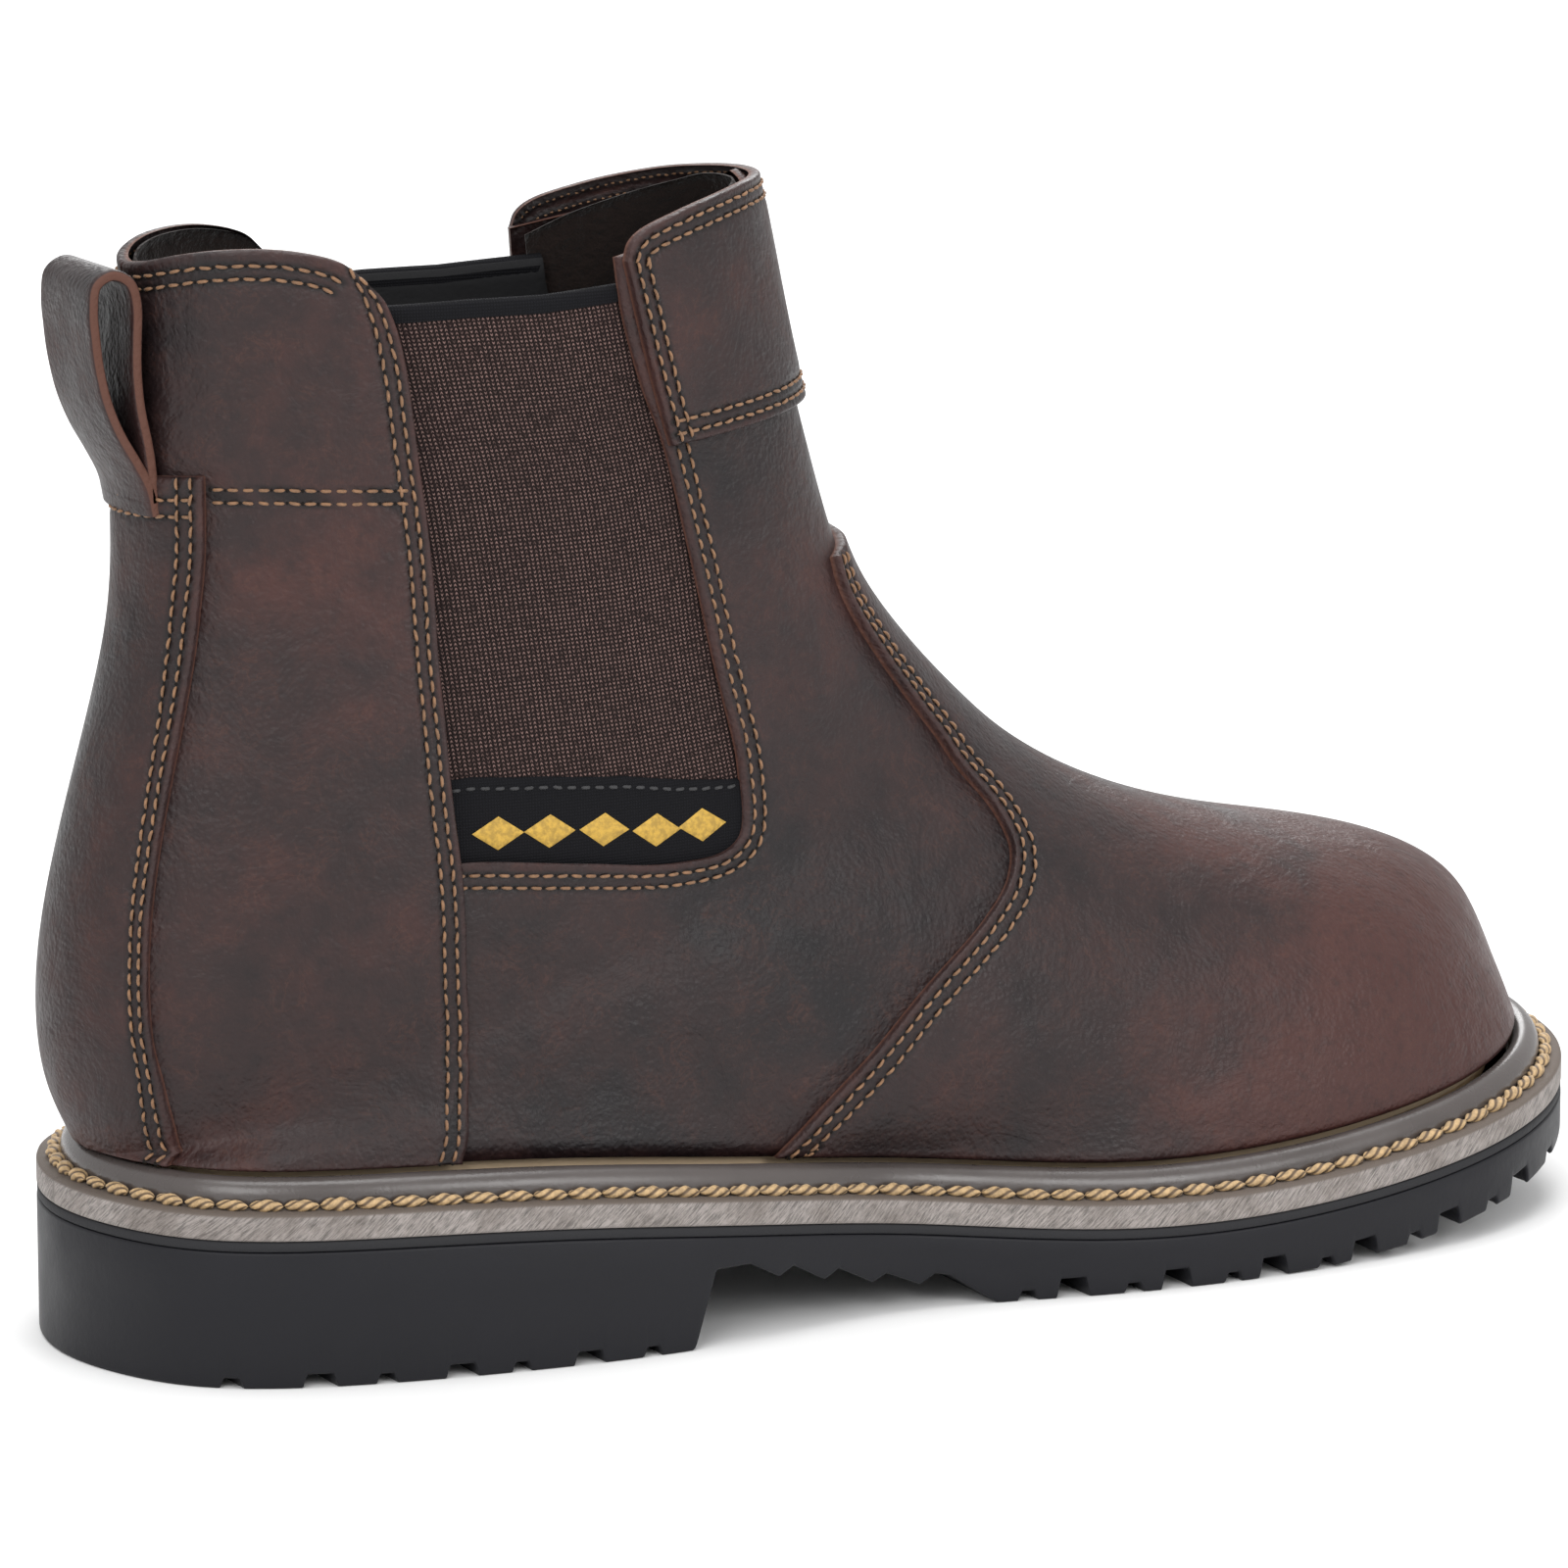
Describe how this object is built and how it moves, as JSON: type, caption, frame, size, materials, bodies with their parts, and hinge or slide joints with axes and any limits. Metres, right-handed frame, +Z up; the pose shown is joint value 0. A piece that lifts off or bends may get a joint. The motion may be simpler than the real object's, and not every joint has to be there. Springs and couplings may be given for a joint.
{
  "type": "safety boot",
  "caption": "Pull-on safety boot with elastic side gores, heel pull loop, steel toe cap, stitched welt and lugged rubber sole with a separate-looking heel.",
  "frame": {"origin": "on the floor, under the middle of the overall length and width", "axes": "+X to the toe, +Y to the inner side of the foot, +Z up"},
  "size_m": [0.3108, 0.1136, 0.2046],
  "materials": {
    "outsole_rubber": "matt black lug sole",
    "slip_rubber": "fine-textured black slip layer",
    "welt_edge": "ground grey-brown edge, brown top",
    "bead_leather": "taupe-brown rounded bead",
    "welt_thread": "waxed twisted tan thread",
    "cork": "pressed cork",
    "shank_steel": "spring steel",
    "board": "fibre insole board",
    "footbed_fabric": "dark textile on foam",
    "cap_steel": "pressed steel, sealed inside",
    "strip_rubber": "soft edge strip",
    "counter_board": "stiff fibreboard",
    "lining": "dark brushed lining",
    "vamp_leather": "oiled leather, reddish burnish",
    "quarter_leather": "oiled leather, dark brown",
    "gore_web": "brown elastic web",
    "gore_backing": "black elastic web",
    "black_weave": "black woven tape"
  },
  "bodies": {
    "boot": {"outsole": "outsole_rubber", "slip_sole": "slip_rubber", "welt": "welt_edge", "storm_bead": "bead_leather", "welt_stitching": "welt_thread", "cork_filler": "cork", "shank": "shank_steel", "insole_board": "board", "steel_toe_cap": "cap_steel", "toe_cap_edge_strip": "strip_rubber", "heel_counter": "counter_board", "vamp_lining": "lining", "front_lining": "lining", "heel_lining": "lining", "vamp": "vamp_leather", "front_quarter": "quarter_leather", "front_collar_band": "quarter_leather", "rear_quarter_lateral": "quarter_leather", "rear_quarter_medial": "quarter_leather", "back_strap": "quarter_leather", "gore_lateral": "gore_web", "gore_medial": "gore_web", "gore_backing_lateral": "gore_backing", "gore_backing_medial": "gore_backing", "gore_binding_lateral": "black_weave", "gore_binding_medial": "black_weave", "gore_label_lateral": "black_weave", "gore_label_medial": "black_weave"},
    "pull_loop": {"pull_loop": "quarter_leather"},
    "footbed": {"footbed": "footbed_fabric"}
  },
  "joints": [
    {"name": "pull_loop_flex", "type": "hinge", "parent": "boot", "child": "pull_loop", "pos_m": [-0.14255, -0.00253, 0.1552], "axis": [0, -1, 0], "range_deg": [0, 50], "stiffness_Nm_per_rad": 0.02},
    {"name": "footbed_lift", "type": "hinge", "parent": "boot", "child": "footbed", "pos_m": [0.1344, 0.0066, 0.0328], "axis": [0, 1, 0], "range_deg": [0, 4]}
  ]
}
